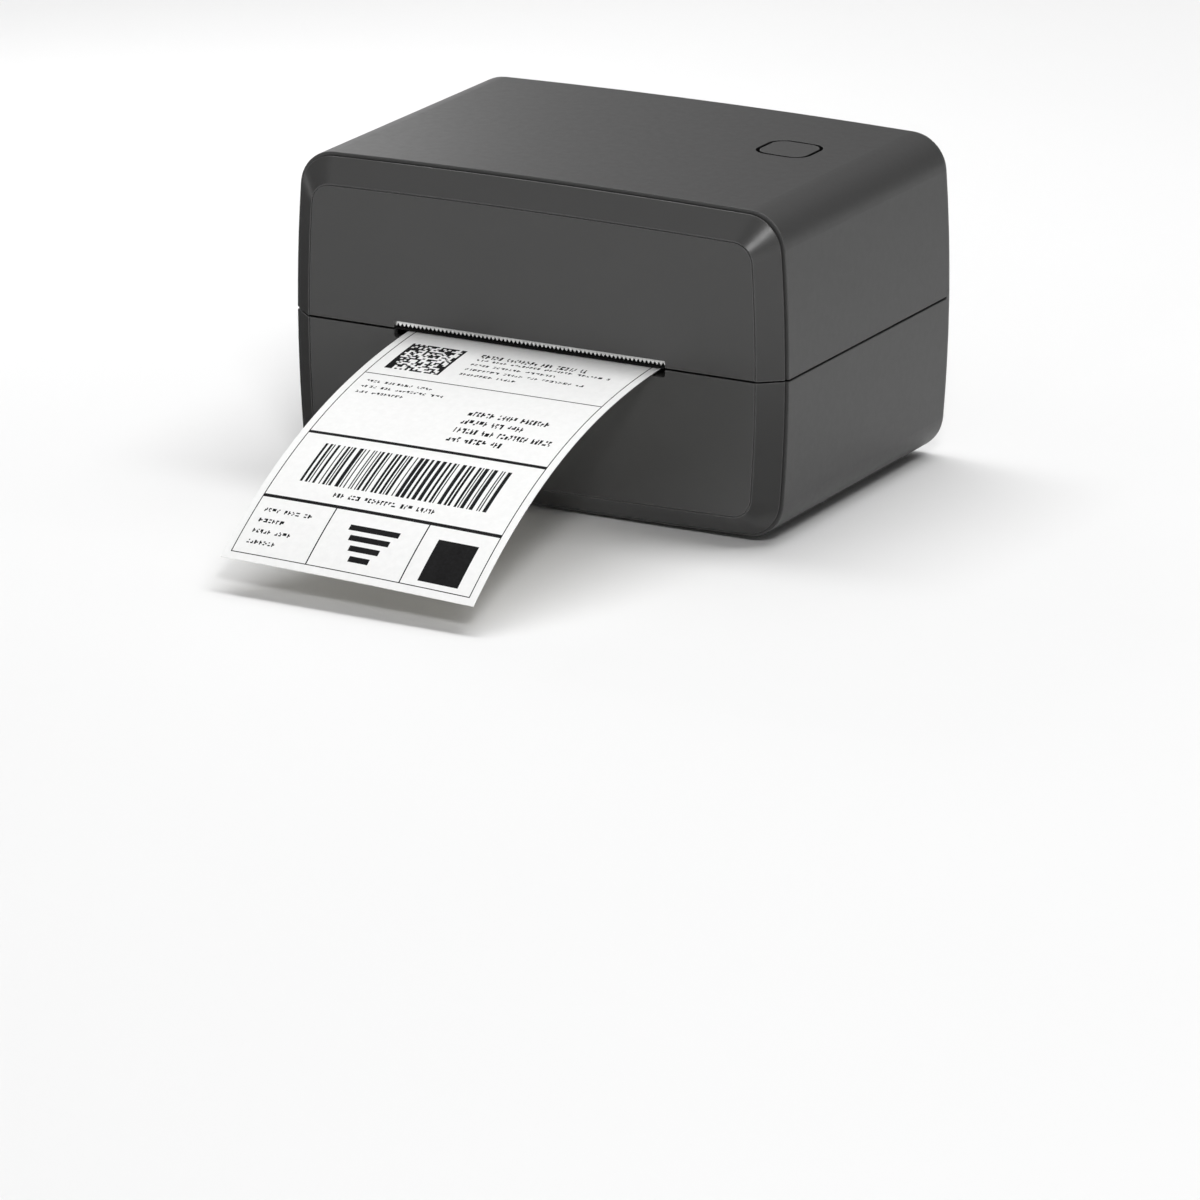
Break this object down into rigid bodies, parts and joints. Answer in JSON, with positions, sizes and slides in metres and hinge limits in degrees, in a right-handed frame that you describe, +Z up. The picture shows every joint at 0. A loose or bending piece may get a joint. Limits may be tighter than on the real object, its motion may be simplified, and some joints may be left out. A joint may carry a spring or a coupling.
{
  "type": "thermal label printer",
  "caption": "Desktop direct-thermal label printer: charcoal clamshell housing with a front tear slot, rear media inlet, top feed button and a printed label leaving the slot.",
  "frame": {"origin": "on the standing surface, under the middle of the housing", "axes": "+X to the right seen from the front, +Y from the front slot to the rear inlet, +Z up"},
  "size_m": [0.1994, 0.2723, 0.1222],
  "materials": {
    "housing": "fine-textured charcoal plastic",
    "front": "fine-textured charcoal plastic, satin",
    "dark_plastic": "black moulded plastic",
    "grey_plastic": "grey moulded plastic",
    "gear_plastic": "natural acetal",
    "white_plastic": "ivory connector plastic",
    "rubber": "matt black rubber",
    "platen_rubber": "ground black silicone rubber",
    "steel": "plated sheet steel",
    "shaft_steel": "ground steel",
    "spring_steel": "drawn spring steel",
    "screw_steel": "zinc plated",
    "tear_steel": "stamped stainless steel",
    "aluminium": "extruded, plain",
    "ceramic": "glazed alumina",
    "board": "green solder mask",
    "chip": "black epoxy",
    "capacitor": "sleeved can",
    "motor": "zinc plated steel can",
    "brass": "turned brass",
    "paper": "white thermal label stock on a liner"
  },
  "bodies": {
    "base": {"base_shell": "housing", "base_front": "front", "rubber_feet": "rubber", "hinge_pins": "shaft_steel", "media_deck": "grey_plastic", "deck_screws": "screw_steel", "drive_plate": "steel", "side_plate": "steel", "plate_screws": "screw_steel", "platen_bushings": "gear_plastic", "idler_pin": "shaft_steel", "stepper_motor": "motor", "motor_screws": "screw_steel", "media_sensor": "dark_plastic", "guide_pinion_screw": "screw_steel", "main_board": "board", "board_screws": "screw_steel", "board_chips": "chip", "board_capacitors": "capacitor", "board_connectors": "white_plastic", "dc_jack": "dark_plastic", "usb_port": "steel", "power_switch": "dark_plastic", "label_web": "paper"},
    "lid": {"lid_shell": "housing", "lid_front": "front", "tear_bar": "tear_steel", "tear_bar_guard": "dark_plastic", "lid_liner": "grey_plastic", "liner_screws": "screw_steel", "head_pivot_rod": "shaft_steel", "spring_bridge": "steel", "head_springs": "spring_steel", "button_board": "board", "button_switch": "chip", "button_board_screws": "screw_steel", "button_spring": "spring_steel", "latch_spring": "spring_steel"},
    "button": {"feed_button": "front"},
    "print_head": {"head_bracket": "steel", "head_heatsink": "aluminium", "head_ceramic": "ceramic", "head_driver_cover": "dark_plastic"},
    "latch": {"latch_bar": "dark_plastic"},
    "platen": {"platen_shaft": "shaft_steel", "platen_roller": "platen_rubber", "platen_gear": "gear_plastic"},
    "idler": {"idler_gear": "gear_plastic"},
    "motor_rotor": {"motor_shaft": "shaft_steel", "motor_pinion": "brass"},
    "guide_left": {"media_guide_left": "dark_plastic"},
    "guide_right": {"media_guide_right": "dark_plastic"},
    "guide_gear": {"guide_pinion": "gear_plastic"},
    "rocker": {"power_rocker": "dark_plastic"}
  },
  "joints": [
    {"name": "lid_hinge", "type": "hinge", "parent": "base", "child": "lid", "pos_m": [0, 0.0665, 0.0612], "axis": [-1, 0, 0], "range_deg": [0, 80]},
    {"name": "button_press", "type": "slide", "parent": "lid", "child": "button", "axis": [0, 0, -1], "range_m": [0, 0.001], "stiffness_N_per_m": 600, "deforming": ["button_spring"]},
    {"name": "head_tilt", "type": "hinge", "parent": "lid", "child": "print_head", "pos_m": [0, -0.0215, 0.075], "axis": [-1, 0, 0], "range_deg": [0, 3], "stiffness_Nm_per_rad": 0.8, "springref_deg": -8.59, "deforming": ["head_springs"]},
    {"name": "latch_turn", "type": "hinge", "parent": "lid", "child": "latch", "pos_m": [0, -0.03, 0.077], "axis": [-1, 0, 0], "range_deg": [0, 8]},
    {"name": "platen_spin", "type": "hinge", "parent": "base", "child": "platen", "pos_m": [0, -0.048, 0.0529], "axis": [1, 0, 0], "continuous": true},
    {"name": "idler_spin", "type": "hinge", "parent": "base", "child": "idler", "pos_m": [-0.072, -0.042, 0.04251], "axis": [1, 0, 0], "continuous": true},
    {"name": "motor_spin", "type": "hinge", "parent": "base", "child": "motor_rotor", "pos_m": [-0.07, -0.03666, 0.02785], "axis": [1, 0, 0], "continuous": true},
    {"name": "guide_left_slide", "type": "slide", "parent": "base", "child": "guide_left", "axis": [-1, 0, 0], "range_m": [0, 0.008]},
    {"name": "guide_right_slide", "type": "slide", "parent": "base", "child": "guide_right", "axis": [1, 0, 0], "range_m": [0, 0.008]},
    {"name": "guide_gear_turn", "type": "hinge", "parent": "base", "child": "guide_gear", "pos_m": [0.001, 0.026, 0.0441], "axis": [0, 0, 1], "range_deg": [-0.5, 57.9]},
    {"name": "rocker_tilt", "type": "hinge", "parent": "base", "child": "rocker", "pos_m": [-0.07, 0.0662, 0.024], "axis": [0, 0, 1], "range_deg": [0, 14]}
  ],
  "couplings": [
    {"joint": "idler_spin", "follows": "platen_spin", "ratio": -1.5},
    {"joint": "motor_spin", "follows": "platen_spin", "ratio": 5},
    {"joint": "guide_right_slide", "follows": "guide_left_slide", "ratio": 1},
    {"joint": "guide_gear_turn", "follows": "guide_left_slide", "rad_per_m": 125}
  ]
}
